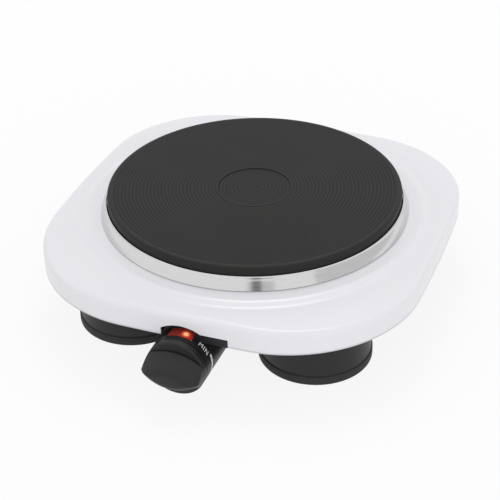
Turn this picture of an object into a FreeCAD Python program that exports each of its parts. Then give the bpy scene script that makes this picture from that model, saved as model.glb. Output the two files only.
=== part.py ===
import FreeCAD, Part
import math
import os
import re
import Sketcher
from FreeCAD import Placement, Rotation, Vector

doc = FreeCAD.newDocument("hot_plate")

# Driving dimensions in millimetres and degrees. Heights count up from the table.
dimensions = {
    # cast iron plate
    "plate_diameter": 188,
    "plate_top": 73,
    "plate_edge_round": 1.6,
    "plate_roof": 7.5,
    "spigot_diameter": 174,
    "channel_outer_radius": 80,
    "channel_inner_radius": 30,
    "hub_wall": 4,
    "centre_recess_radius": 23,
    "centre_recess_depth": 1,
    "boss_radius": 9,
    "stud_depth": 9,
    # heating element, its insulation and the dish below it
    "element_diameter": 7,
    "element_outer_radius": 68,
    "element_inner_radius": 43,
    "element_sweep": 310,
    "element_bend": 6,
    "element_leg_end": 46,
    "leg_clearance": 0.3,
    "leg_hole_clearance": 2,
    "insulation_thickness": 2,
    "insulation_gap": 0.1,
    "cover_sheet": 0.8,
    "bead_radius": 6,
    "bead_flange_radius": 7.5,
    "bead_length": 4,
    # centre clamp
    "stud_radius": 3,
    "stud_hole_clearance": 0.3,
    "thread_clearance": 0.05,
    "nut_flats": 10,
    "nut_height": 5,
    "washer_radius": 5.5,
    "washer_height": 1.5,
    "washer_slit": 1.2,
    "bridge_sheet": 1.5,
    "bridge_width": 22,
    "bridge_web_height": 44,
    "bridge_leg_radius": 89,
    "bridge_foot_length": 10,
    "bridge_bend": 1.5,
    # trim ring
    "ring_sheet": 0.6,
    "ring_gap": 1.3,
    "ring_flare": 3.3,
    "ring_top_drop": 5.3,
    "ring_lip": 0.8,
    "opening_clearance": 0.75,
    # pressed shell
    "shell_sheet": 0.8,
    "hem_height": 40.4,
    "half_width": 122.2,
    "front_depth": 125.3,
    "rear_depth": 120.1,
    "side_bow": 1110,
    "front_bow": 2400,
    "rear_bow": 1670,
    "front_corner_radius": 84,
    "rear_corner_radius": 72,
    "platform_height": 59.1,
    "platform_radius": 106,
    "step_width": 7.5,
    "step_drop": 2.2,
    "dome_reach": 155,
    "dome_drop": 4,
    "dome_bow": 320,
    "shell_edge_round": 3.5,
    # base pan
    "pan_sheet": 0.8,
    "pan_floor": 25.4,
    "pan_fit": 0.3,
    "flange_recess": 0.6,
    "well_inset_x": 25.2,
    "well_inset_front": 31.8,
    "well_inset_rear": 26.6,
    "well_corner_radius": 38,
    "vent_length": 40,
    "vent_width": 4,
    "vent_pitch": 13,
    "vent_count": 6,
    # fasteners
    "screw_radius": 1.7,
    "screw_head_radius": 3.4,
    "screw_head_height": 2,
    "screw_hole_clearance": 0.25,
    "stud_inset_x": 34,
    "stud_inset_front": 37,
    "stud_inset_rear": 32,
    "shell_stud_radius": 4,
    "base_screw_grip": 2.2,
    # feet
    "foot_inset_x": 61.3,
    "foot_inset_front": 65.3,
    "foot_inset_rear": 60.1,
    "foot_ledge": 0.7,
    "foot_draft": 1.9,
    "foot_wall": 2.6,
    "foot_boss_radius": 5,
    "foot_boss_depth": 14,
    "foot_screw_length": 12,
    "pad_radius": 35.4,
    "pad_height": 6.2,
    "pad_floor": 2,
    "pad_edge": 0.8,
    "pad_wall": 4.2,
    "pad_fit": 0.15,
    # knob housing, measured forward from the plate's axis
    "knob_axis_height": 25.6,
    "housing_rear_radius": 18.6,
    "housing_front_radius": 18.3,
    "housing_wall": 2,
    "housing_face": 2.5,
    "housing_back_wall": 2.5,
    "arch_radius": 23.4,
    "collar_setback": 5.7,
    "collar_reach": 12.4,
    "saddle_reach": 28.8,
    "saddle_setback": 13.5,
    "saddle_trim": 0.6,
    "saddle_height": 5.4,
    "saddle_drop": 0.6,
    "saddle_fit": 0.4,
    "tongue_length": 26,
    "tongue_half_width": 14,
    "tongue_thickness": 3,
    "tongue_screw_spacing": 16,
    "tongue_screw_setback": 18,
    "wire_hole_radius": 5,
    "wire_hole_rise": 8.3,
    # indicator lamp
    "lens_setback": 10.7,
    "lens_length": 8,
    "lens_angle": 50,
    "lens_wall": 1.8,
    "lens_fit": 0.15,
    "lamp_radius": 2.2,
    "lamp_length": 12,
    "lamp_shelf_rise": 8.6,
    "lamp_shelf_thickness": 1.8,
    "lamp_shelf_half_width": 7,
    # thermostat
    "thermostat_half_width": 11.5,
    "thermostat_below": 10.5,
    "thermostat_above": 6.4,
    "thermostat_length": 22,
    "thermostat_edge": 1.5,
    "neck_radius": 4.5,
    "neck_length": 5.2,
    "neck_clearance": 0.2,
    "neck_nut_flats": 12,
    "neck_nut_height": 2.2,
    "tab_width": 6.3,
    "tab_thickness": 0.8,
    "tab_length": 8,
    "tab_room": 2.3,
    "tab_spacing": 13,
    "shaft_radius": 3,
    "shaft_clearance": 0.05,
    "shaft_depth": 16,
    "shaft_reach": 12.5,
    "shaft_flat": 1.9,
    "clip_thickness": 0.5,
    "clip_width": 3.4,
    "clip_length": 8,
    # knob
    "knob_gap": 0.6,
    "knob_radius": 18.3,
    "knob_front_radius": 17.5,
    "knob_disc": 4.2,
    "knob_edge_round": 0.8,
    "grip_length": 13.2,
    "grip_step": 0.9,
    "grip_root_half": 12.2,
    "grip_bow": 29,
    "grip_taper": 29,
    "grip_turn": -5,
    "grip_edge_round": 5,
    "knob_recess_radius": 8,
    "knob_recess_depth": 2.8,
    "bore_end_gap": 0.4,
    # supply end
    "block_half_width": 18,
    "block_setback": 11.5,
    "block_length": 16,
    "block_height": 11,
    "terminal_pitch": 11,
    "terminal_radius": 2.2,
    "terminal_depth": 6,
    "gland_height": 33.4,
    "gland_bore_radius": 3.6,
    "gland_neck_radius": 5,
    "gland_flange_radius": 7.5,
    "gland_flange": 2.5,
    "gland_collar_radius": 6,
    "gland_collar": 6,
    "gland_snap_radius": 5.7,
    "gland_snap": 2,
    "gland_fit": 0.1,
}

sheet = doc.addObject("Spreadsheet::Sheet", "sizes")
for row, (alias, number) in enumerate(dimensions.items(), start=1):
    sheet.set(f"A{row}", alias)
    sheet.set(f"B{row}", str(number))
    sheet.setAlias(f"B{row}", alias)
doc.recompute()


def bound(formula):
    # names the sheet in front of each of its aliases
    def named(word):
        return "sizes." + word.group(0) if word.group(0) in dimensions else word.group(0)

    return re.sub(r"[a-z_]+", named, formula)


def size(formula):
    return float(sheet.evalExpression(bound(formula)))


# Heights and radii that follow from the driving dimensions.
plate_radius = "(plate_diameter / 2)"
spigot_radius = "(spigot_diameter / 2)"
opening_radius = "(spigot_diameter / 2 + opening_clearance)"
rim_seat = "(platform_height + ring_sheet)"
roof_height = "(plate_top - plate_roof)"
element_height = "(plate_top - plate_roof - element_diameter / 2)"
element_bottom = "(plate_top - plate_roof - element_diameter)"
insulation_bottom = f"({element_bottom} - insulation_gap - insulation_thickness)"
cover_bottom = f"({insulation_bottom} - cover_sheet)"
bridge_top = "(platform_height - shell_sheet)"
clamp_washer_bottom = "(bridge_web_height - washer_height)"
clamp_nut_bottom = f"({clamp_washer_bottom} - nut_height)"
pan_inside = "(pan_floor + pan_sheet)"
flange_bottom = "(hem_height + flange_recess)"
flange_top = f"({flange_bottom} + pan_sheet)"
well_half_width = "(half_width - well_inset_x)"
well_front = "(front_depth - well_inset_front)"
well_rear = "(rear_depth - well_inset_rear)"
foot_base_radius = "(pad_radius - foot_ledge)"
foot_top_radius = f"({foot_base_radius} - foot_draft)"
block_front = f"({well_rear} - block_setback - block_length)"
ring_top_radius = f"({plate_radius} + ring_gap)"
ring_base_radius = f"({plate_radius} + ring_gap + ring_flare)"
housing_rear = f"({well_front} + housing_back_wall)"
housing_front = f"({housing_rear} + tab_room + tab_length + thermostat_length + housing_face)"
saddle_rear = "(front_depth - saddle_setback)"
lens_rear = f"({housing_front} - lens_setback)"
wire_hole_height = "(knob_axis_height + wire_hole_rise)"
lamp_shelf_height = "(knob_axis_height + lamp_shelf_rise)"
saddle_top = "(hem_height - saddle_drop + saddle_height)"
face_inside = f"({housing_front} - housing_face)"
knob_back = f"({housing_front} + knob_gap)"
knob_face = f"({knob_back} + knob_disc)"
knob_front = f"({knob_face} + grip_length)"
shaft_front = f"({housing_front} + shaft_reach)"
axis_y = f"(({knob_front} - rear_depth) / 2)"

sub_parts = []


def new_body(name):
    return doc.addObject("PartDesign::Body", name)


def sketch_on(body, name, role, offset=None):
    sketch = body.newObject("Sketcher::SketchObject", name)
    planes = [plane for plane in body.Origin.OriginFeatures if plane.Role == role]
    sketch.AttachmentSupport = (planes[0], "")
    sketch.MapMode = "FlatFace"
    if offset:
        sketch.setExpression("AttachmentOffset.Base.z", bound(offset))
    return sketch


def fix_value(sketch, constraint, formula):
    index = sketch.addConstraint(constraint)
    sketch.setExpression(f"Constraints[{index}]", bound(formula))


def fix_point(sketch, geometry, place, x, y):
    for kind, formula, axis in (("DistanceX", x, -2), ("DistanceY", y, -1)):
        value = size(formula)
        if abs(value) < 1e-9:
            sketch.addConstraint(Sketcher.Constraint("PointOnObject", geometry, place, axis))
        else:
            fix_value(sketch, Sketcher.Constraint(kind, -1, 1, geometry, place, value), formula)


def add_circle(sketch, x, y, radius):
    circle = Part.Circle(Vector(size(x), size(y), 0), Vector(0, 0, 1), size(radius))
    index = sketch.addGeometry(circle)
    fix_point(sketch, index, 3, x, y)
    fix_value(sketch, Sketcher.Constraint("Radius", index, size(radius)), radius)


def arc_between(start, end, radius, left):
    # circle of that radius through both points, its centre left or right of the way from start to end
    chord = end - start
    rise = math.sqrt(max(0, radius * radius - chord.Length * chord.Length / 4))
    normal = Vector(-chord.y, chord.x, 0).normalize()
    centre = (start + end) * 0.5 + normal * (rise if left else -rise)
    first, last = (start, end) if left else (end, start)
    angles = [math.atan2(p.y - centre.y, p.x - centre.x) for p in (first, last)]
    return Part.ArcOfCircle(Part.Circle(centre, Vector(0, 0, 1), radius), angles[0], angles[1])


def add_loop(sketch, corners, arcs=None):
    # closed chain through the corners; arcs maps an edge's number to its radius and its centre's side
    arcs = arcs or {}
    points = [Vector(size(x), size(y), 0) for x, y in corners]
    ends = []
    for edge, start in enumerate(points):
        end = points[(edge + 1) % len(points)]
        if edge in arcs:
            radius, side = arcs[edge]
            left = side != "right"
            index = sketch.addGeometry(arc_between(start, end, size(radius), left))
            if side == "half":
                sketch.addConstraint(Sketcher.Constraint("Symmetric", index, 1, index, 2, index, 3))
            else:
                fix_value(sketch, Sketcher.Constraint("Radius", index, size(radius)), radius)
            ends.append((index, 1, 2) if left else (index, 2, 1))
        else:
            index = sketch.addGeometry(Part.LineSegment(start, end))
            ends.append((index, 1, 2))
    for edge, (index, first, last) in enumerate(ends):
        following, following_first, _ = ends[(edge + 1) % len(ends)]
        sketch.addConstraint(Sketcher.Constraint("Coincident", index, last, following, following_first))
        fix_point(sketch, index, first, *corners[edge])


def add_box(sketch, x0, y0, x1, y1):
    add_loop(sketch, [(x0, y0), (x1, y0), (x1, y1), (x0, y1)])


def add_feature(body, kind, sketch, **settings):
    feature = body.newObject("PartDesign::" + kind, sketch.Name + "_" + kind.lower())
    feature.Profile = sketch
    for name, value in settings.items():
        if isinstance(value, str):
            feature.setExpression(name, bound(value))
        else:
            setattr(feature, name, value)
    body.Tip = feature
    return feature


def revolve(body, sketch, kind="Revolution", **settings):
    settings.setdefault("Angle", "360")
    return add_feature(body, kind, sketch, ReferenceAxis=(sketch, ["V_Axis"]), **settings)


def round_edges(body, radius, chosen, kind="Fillet"):
    doc.recompute()
    base = body.Tip
    names = [f"Edge{i}" for i, edge in enumerate(base.Shape.Edges, start=1) if chosen(edge)]
    feature = body.newObject("PartDesign::" + kind, f"{body.Name}_{kind.lower()}")
    feature.Base = (base, names)
    feature.setExpression("Radius" if kind == "Fillet" else "Size", bound(radius))
    body.Tip = feature
    return feature


def place(thing, x="0", y="0", z="0", turn=None):
    # every piece is drawn about the plate's axis; the origin lies under the middle of the footprint
    thing.Placement = Placement(Vector(0, 0, 0), turn or Rotation())
    for axis, formula in (("x", x), ("y", f"{axis_y} + ({y})"), ("z", z)):
        thing.setExpression("Placement.Base." + axis, bound(formula))


def finish(thing, label, x="0", y="0", z="0", turn=None):
    place(thing, x, y, z, turn)
    keep(thing, label)


def keep(thing, label):
    thing.Label = label
    sub_parts.append(thing)


# Barrel, thermostat and knob are drawn about their own axis, with z running forward.
facing_front = Rotation(Vector(1, 0, 0), 90)


def finish_on_knob_axis(thing, label):
    finish(thing, label, z="knob_axis_height", turn=facing_front)


def hexagon(sketch, flats):
    reach = f"{flats} / sqrt(3)"
    corners = [(f"{reach} * cos({60 * k})", f"{reach} * sin({60 * k})") for k in range(6)]
    add_loop(sketch, corners)


def hex_nut(name, flats, height, bore):
    body = new_body(name)
    sketch = sketch_on(body, name + "_outline", "XY_Plane")
    hexagon(sketch, flats)
    add_circle(sketch, "0", "0", bore)
    add_feature(body, "Pad", sketch, Length=height)
    return body


def corner_circle(depth, bow, corner):
    # circle that touches a side's arc and an end's arc from within: its centre and where it touches them
    side = Vector(size("half_width - side_bow"), 0, 0)
    end = Vector(0, size(f"{depth} - {bow}"), 0)
    near, far = size(f"side_bow - {corner}"), size(f"{bow} - {corner}")
    across = end - side
    along = (near * near - far * far + across.Length ** 2) / (2 * across.Length)
    off = math.sqrt(near * near - along * along)
    unit = Vector(across).normalize()
    centre = side + unit * along + Vector(-unit.y, unit.x, 0) * off
    side_turn, end_turn = [math.atan2(centre.y - c.y, centre.x - c.x) for c in (side, end)]
    return centre, side_turn, end_turn


def tangent_outline(sketch, inset):
    # rounded square of eight tangent arcs: bowed sides, front and back, and four large corners
    rear, rear_side, rear_end = corner_circle("rear_depth", "rear_bow", "rear_corner_radius")
    front, front_side, front_end = corner_circle("front_depth", "front_bow", "front_corner_radius")
    half = math.pi
    side_centre = Vector(size("half_width - side_bow"), 0, 0)
    rear_centre = Vector(0, size("rear_depth - rear_bow"), 0)
    front_centre = Vector(0, size("front_bow - front_depth"), 0)
    arcs = [
        (side_centre, "side_bow", -front_side, rear_side),
        (rear, "rear_corner_radius", rear_side, rear_end),
        (rear_centre, "rear_bow", rear_end, half - rear_end),
        (Vector(-rear.x, rear.y, 0), "rear_corner_radius", half - rear_end, half - rear_side),
        (-side_centre, "side_bow", half - rear_side, half + front_side),
        (-front, "front_corner_radius", half + front_side, half + front_end),
        (front_centre, "front_bow", half + front_end, 2 * half - front_end),
        (Vector(front.x, -front.y, 0), "front_corner_radius", -front_end, -front_side),
    ]
    curves = []
    for centre, radius, start, end in arcs:
        circle = Part.Circle(centre, Vector(0, 0, 1), size(f"{radius} - {inset}"))
        curves.append(Part.ArcOfCircle(circle, start, end))
    first = sketch.addGeometry(curves)[0]
    for k, arc in enumerate(arcs):
        sketch.addConstraint(Sketcher.Constraint("Tangent", first + k, 2, first + (k + 1) % 8, 1))
        radius = f"{arc[1]} - {inset}"
        fix_value(sketch, Sketcher.Constraint("Radius", first + k, size(radius)), radius)
    fix_point(sketch, first, 3, "half_width - side_bow", "0")
    fix_point(sketch, first + 2, 3, "0", "rear_depth - rear_bow")
    fix_point(sketch, first + 4, 3, "side_bow - half_width", "0")
    fix_point(sketch, first + 6, 3, "0", "front_bow - front_depth")


def rounded_box(sketch, half_x, front, rear, radius):
    inner_x, inner_front, inner_rear = [f"({reach} - {radius})" for reach in (half_x, front, rear)]
    corners = [
        (half_x, f"-{inner_front}"), (half_x, inner_rear), (inner_x, rear), (f"-{inner_x}", rear),
        (f"-{half_x}", inner_rear), (f"-{half_x}", f"-{inner_front}"), (f"-{inner_x}", f"-{front}"),
        (inner_x, f"-{front}"),
    ]
    add_loop(sketch, corners, {k: (radius, "left") for k in (1, 3, 5, 7)})


def shell_form(name, inset, bottom):
    # prism of the outline under a domed top: platform, soft step, cone that falls to the corners
    body = new_body(name)
    outline = sketch_on(body, name + "_outline", "XY_Plane", bottom)
    tangent_outline(outline, inset)
    add_feature(body, "Pad", outline, Length=f"plate_top - ({bottom})")
    crown = sketch_on(body, name + "_crown", "XZ_Plane")
    level = f"(platform_height - {inset})"
    step_end = "(platform_radius + step_width)"
    step_radius = "((step_width ^ 2 + step_drop ^ 2) / (4 * step_drop))"
    corners = [
        ("0", level),
        ("platform_radius", level),
        ("platform_radius + step_width / 2", f"{level} - step_drop / 2"),
        (step_end, f"{level} - step_drop"),
        ("dome_reach", f"{level} - step_drop - dome_drop"),
        ("dome_reach", "plate_top + shell_sheet"),
        ("0", "plate_top + shell_sheet"),
    ]
    arcs = {1: (step_radius, "right"), 2: (step_radius, "left"), 3: ("dome_bow", "right")}
    add_loop(crown, corners, arcs)
    revolve(body, crown, "Groove")
    low, wide = size(f"{bottom} + 0.5"), size("platform_radius + step_width")

    def on_rim(edge):
        middle = edge.valueAt((edge.FirstParameter + edge.LastParameter) / 2)
        upright = abs(edge.Vertexes[0].Point.z - edge.Vertexes[-1].Point.z) > size("shell_edge_round")
        return middle.z > low and math.hypot(middle.x, middle.y) > wide and not upright

    round_edges(body, f"shell_edge_round - {inset}", on_rim)
    return body


def arch_outline(sketch, axis, bottom, inset):
    # arch over the barrel that steps down to a flat top on its right, with upright ends
    left, right = f"(collar_reach + saddle_fit - {inset})", f"(saddle_reach + saddle_fit - {inset})"
    top = f"({saddle_top} - knob_axis_height + saddle_fit - {inset})"
    radius = f"(arch_radius - {inset})"
    corners = [
        (f"-{left}", bottom), (right, bottom), (right, f"{axis} + {top}"),
        (f"sqrt({radius} ^ 2 - {top} ^ 2)", f"{axis} + {top}"),
        (f"-{left}", f"{axis} + sqrt({radius} ^ 2 - {left} ^ 2)"),
    ]
    add_loop(sketch, corners, {3: (radius, "left")})


def make_shell():
    outside = shell_form("shell_outside", "0", "hem_height")
    opening = sketch_on(outside, "shell_opening", "XY_Plane", "hem_height")
    add_circle(opening, "0", "0", opening_radius)
    add_feature(outside, "Pocket", opening, Length="plate_top", Reversed=True)
    arch = sketch_on(outside, "shell_arch", "XZ_Plane", saddle_rear)
    arch_outline(arch, "knob_axis_height", "hem_height - shell_sheet", "0")
    add_feature(outside, "Pocket", arch, Length="front_depth", Reversed=True)
    inside = shell_form("shell_inside", "shell_sheet", "hem_height - 2 * shell_sheet")
    for body in (outside, inside):
        place(body)
    shell = doc.addObject("Part::Cut", "shell")
    shell.Base = outside
    shell.Tool = inside
    keep(shell, "top_shell")
    return inside


def make_plate():
    body = new_body("plate")
    section = sketch_on(body, "plate_section", "XZ_Plane")
    recess_floor = "plate_top - centre_recess_depth"
    hub_inner = "(channel_inner_radius - hub_wall)"
    corners = [
        ("0", recess_floor),
        ("centre_recess_radius", recess_floor),
        ("centre_recess_radius", "plate_top"),
        (f"{plate_radius} - plate_edge_round", "plate_top"),
        (plate_radius, "plate_top - plate_edge_round"),
        (plate_radius, rim_seat),
        (spigot_radius, rim_seat),
        (spigot_radius, element_bottom),
        ("channel_outer_radius", element_bottom),
        ("channel_outer_radius", roof_height),
        ("channel_inner_radius", roof_height),
        ("channel_inner_radius", element_bottom),
        (hub_inner, element_bottom),
        (hub_inner, roof_height),
        ("boss_radius", roof_height),
        ("boss_radius", insulation_bottom),
        ("stud_radius + thread_clearance", insulation_bottom),
        ("stud_radius + thread_clearance", f"{insulation_bottom} + stud_depth"),
        ("0", f"{insulation_bottom} + stud_depth"),
    ]
    add_loop(section, corners, {3: ("plate_edge_round", "right")})
    revolve(body, section)
    finish(body, "hot_plate")


def make_ring():
    body = new_body("ring")
    section = sketch_on(body, "ring_section", "XZ_Plane")
    top = "(plate_top - ring_top_drop)"
    corners = [
        (opening_radius, "platform_height"),
        (ring_base_radius, "platform_height"),
        (ring_top_radius, f"{top} - ring_sheet"),
        (f"{ring_top_radius} - ring_sheet", top),
        (f"{ring_top_radius} - ring_lip", top),
        (f"{ring_top_radius} - ring_lip", f"{top} - ring_sheet"),
        (f"{ring_top_radius} - ring_sheet", f"{top} - 2 * ring_sheet"),
        (f"{ring_base_radius} - ring_sheet", rim_seat),
        (opening_radius, rim_seat),
    ]
    add_loop(section, corners)
    revolve(body, section)
    finish(body, "trim_ring")


def leg_places():
    # the two cold ends turn down beside each other, just past the start of the loop
    return [("-element_bend", f"-{radius}") for radius in ("element_outer_radius", "element_inner_radius")]


def make_element():
    # one tube: cold end, outer loop, U-turn, inner loop back, cold end
    outer, inner = size("element_outer_radius"), size("element_inner_radius")
    height, bend, foot = size(element_height), size("element_bend"), size("element_leg_end")
    turn = math.radians(size("element_sweep") - 90)

    def at(radius, angle, z=height):
        return Vector(radius * math.cos(angle), radius * math.sin(angle), z)

    def loop(radius, back):
        half = (turn - math.pi / 2) / 2
        points = [at(radius, -math.pi / 2), at(radius, half), at(radius, turn)]
        return Part.Arc(*(reversed(points) if back else points))

    def leg(radius, rising):
        corner = Vector(-bend, -radius, height - bend)
        middle = Vector(-bend * math.sin(math.pi / 4), -radius, height - bend * (1 - math.cos(math.pi / 4)))
        run = [Vector(-bend, -radius, foot), corner]
        curve = [corner, middle, Vector(0, -radius, height)]
        if rising:
            return [Part.LineSegment(*run), Part.Arc(*curve)]
        return [Part.Arc(*reversed(curve)), Part.LineSegment(*reversed(run))]

    centre = at((outer + inner) / 2, turn)
    tip = centre + Vector(-math.sin(turn), math.cos(turn), 0) * ((outer - inner) / 2)
    u_turn = Part.Arc(at(outer, turn), tip, at(inner, turn))
    path = leg(outer, True) + [loop(outer, False), u_turn, loop(inner, True)] + leg(inner, False)
    wire = Part.Wire([piece.toShape() for piece in path])
    profile = Part.Circle(Vector(-bend, -outer, foot), Vector(0, 0, 1), size("element_diameter / 2"))
    tube = wire.makePipe(Part.Face(Part.Wire(profile.toShape())))
    element = doc.addObject("Part::Feature", "element")
    element.Shape = tube
    finish(element, "heating_element")


def make_insulation():
    body = new_body("insulation")
    ring = sketch_on(body, "insulation_ring", "XY_Plane", insulation_bottom)
    add_circle(ring, "0", "0", f"{spigot_radius} - cover_sheet - pad_fit")
    add_circle(ring, "0", "0", "boss_radius + leg_clearance")
    for x, y in leg_places():
        add_circle(ring, x, y, "element_diameter / 2 + leg_hole_clearance")
    add_feature(body, "Pad", ring, Length="insulation_thickness")
    finish(body, "insulation_pad")


def make_cover():
    body = new_body("cover")
    section = sketch_on(body, "cover_section", "XZ_Plane")
    hole = "(stud_radius + stud_hole_clearance)"
    corners = [
        (hole, cover_bottom),
        (spigot_radius, cover_bottom),
        (spigot_radius, element_bottom),
        (f"{spigot_radius} - cover_sheet", element_bottom),
        (f"{spigot_radius} - cover_sheet", insulation_bottom),
        (hole, insulation_bottom),
    ]
    add_loop(section, corners)
    revolve(body, section)
    holes = sketch_on(body, "cover_holes", "XY_Plane", f"{cover_bottom} - cover_sheet")
    for x, y in leg_places():
        add_circle(holes, x, y, "bead_radius + leg_clearance")
    add_feature(body, "Pocket", holes, Length="3 * cover_sheet", Reversed=True)
    finish(body, "plate_cover")


def make_beads():
    beads = []
    for k, (x, y) in enumerate(leg_places()):
        body = new_body(f"bead_{k}")
        section = sketch_on(body, f"bead_section_{k}", "XZ_Plane")
        bore = "(element_diameter / 2 + leg_clearance)"
        corners = [
            (bore, f"{cover_bottom} - bead_length"),
            ("bead_flange_radius", f"{cover_bottom} - bead_length"),
            ("bead_flange_radius", cover_bottom),
            ("bead_radius", cover_bottom),
            ("bead_radius", insulation_bottom),
            (bore, insulation_bottom),
        ]
        add_loop(section, corners)
        revolve(body, section)
        place(body, x, y)
        beads.append(body)
    group = doc.addObject("Part::Compound", "beads")
    group.Links = beads
    keep(group, "element_beads")


def make_clamp():
    stud = doc.addObject("Part::Cylinder", "stud")
    stud.setExpression("Radius", bound("stud_radius"))
    stud_end = f"({clamp_nut_bottom} - thread_clearance)"
    stud.setExpression("Height", bound(f"{insulation_bottom} + stud_depth - {stud_end}"))
    finish(stud, "plate_stud", z=stud_end)

    bore = "stud_radius + thread_clearance"
    cover_nut = hex_nut("cover_nut", "nut_flats", "nut_height", bore)
    finish(cover_nut, "cover_nut", z=f"{cover_bottom} - nut_height")
    clamp_nut = hex_nut("clamp_nut", "nut_flats", "nut_height", bore)
    finish(clamp_nut, "clamp_nut", z=clamp_nut_bottom)

    washer = new_body("washer")
    ring = sketch_on(washer, "washer_ring", "XY_Plane")
    add_circle(ring, "0", "0", "washer_radius")
    add_circle(ring, "0", "0", "stud_radius + stud_hole_clearance")
    add_feature(washer, "Pad", ring, Length="washer_height")
    slit = sketch_on(washer, "washer_slit", "XY_Plane")
    add_box(slit, "0", "-washer_slit / 2", "washer_radius + washer_slit", "washer_slit / 2")
    add_feature(washer, "Pocket", slit, Length="washer_height", Reversed=True)
    finish(washer, "spring_washer", z=clamp_washer_bottom)

    bridge = new_body("bridge")
    strap = sketch_on(bridge, "bridge_strap", "XZ_Plane", "-bridge_width / 2")
    web, leg, outer = "bridge_web_height", "bridge_leg_radius", "(bridge_leg_radius + bridge_sheet)"
    toe = f"({outer} + bridge_foot_length)"
    half = [
        (toe, f"{bridge_top} - bridge_sheet"),
        (toe, bridge_top),
        (leg, bridge_top),
        (leg, f"{web} + bridge_sheet"),
    ]
    lower = [(outer, web), (outer, f"{bridge_top} - bridge_sheet")]
    mirrored = [(f"-{x}", y) for x, y in reversed(half)]
    lower_left = [(f"-{x}", y) for x, y in reversed(lower)]
    add_loop(strap, half + mirrored + lower_left + lower)
    add_feature(bridge, "Pad", strap, Length="bridge_width")
    centre = sketch_on(bridge, "bridge_hole", "XY_Plane")
    add_circle(centre, "0", "0", "stud_radius + stud_hole_clearance")
    add_feature(bridge, "Pocket", centre, Length=f"{web} + 2 * bridge_sheet", Reversed=True)

    def is_bend(edge):
        along = abs(edge.Vertexes[0].Point.y - edge.Vertexes[-1].Point.y)
        return along > size("bridge_width") / 2 and abs(edge.Vertexes[0].Point.x) < size(toe) - 1

    round_edges(bridge, "bridge_bend / 2", is_bend)
    finish(bridge, "clamp_bridge")


def four(piece):
    # one place near each corner of the shell, set in from its sides, front and rear
    across = f"(half_width - {piece}_inset_x)"
    ends = (f"-(front_depth - {piece}_inset_front)", f"(rear_depth - {piece}_inset_rear)")
    return [(side + across, end) for end in ends for side in ("-", "")]


def make_screws(name, places, seat, shank, turned_over=False):
    # pan-head screws in one group; seat is the height of the head's flat face
    screws = []
    for k, (x, y) in enumerate(places):
        head = doc.addObject("Part::Cylinder", f"{name}_head_{k}")
        head.setExpression("Radius", bound("screw_head_radius"))
        head.setExpression("Height", bound("screw_head_height"))
        body = doc.addObject("Part::Cylinder", f"{name}_shank_{k}")
        body.setExpression("Radius", bound("screw_radius"))
        body.setExpression("Height", bound(shank))
        place(head, x, y, f"{seat} - screw_head_height" if turned_over else seat)
        place(body, x, y, seat if turned_over else f"{seat} - ({shank})")
        screw = doc.addObject("Part::Fuse", f"{name}_{k}")
        screw.Base = head
        screw.Tool = body
        screws.append(screw)
    group = doc.addObject("Part::Compound", name)
    group.Links = screws
    keep(group, name)


def make_shell_studs(inside):
    # tubes welded under the shell; each is cut to the dome by the space inside the shell
    tubes = []
    for k, (x, y) in enumerate(four("stud")):
        body = new_body(f"shell_stud_{k}")
        ring = sketch_on(body, f"shell_stud_ring_{k}", "XY_Plane")
        add_circle(ring, "0", "0", "shell_stud_radius")
        add_circle(ring, "0", "0", "screw_radius + thread_clearance")
        add_feature(body, "Pad", ring, Length="platform_height - hem_height")
        place(body, x, y, flange_top)
        tubes.append(body)
    tubes_together = doc.addObject("Part::Compound", "shell_tubes")
    tubes_together.Links = tubes
    studs = doc.addObject("Part::Common", "shell_studs")
    studs.Base = tubes_together
    studs.Tool = inside
    keep(studs, "shell_studs")


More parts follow.
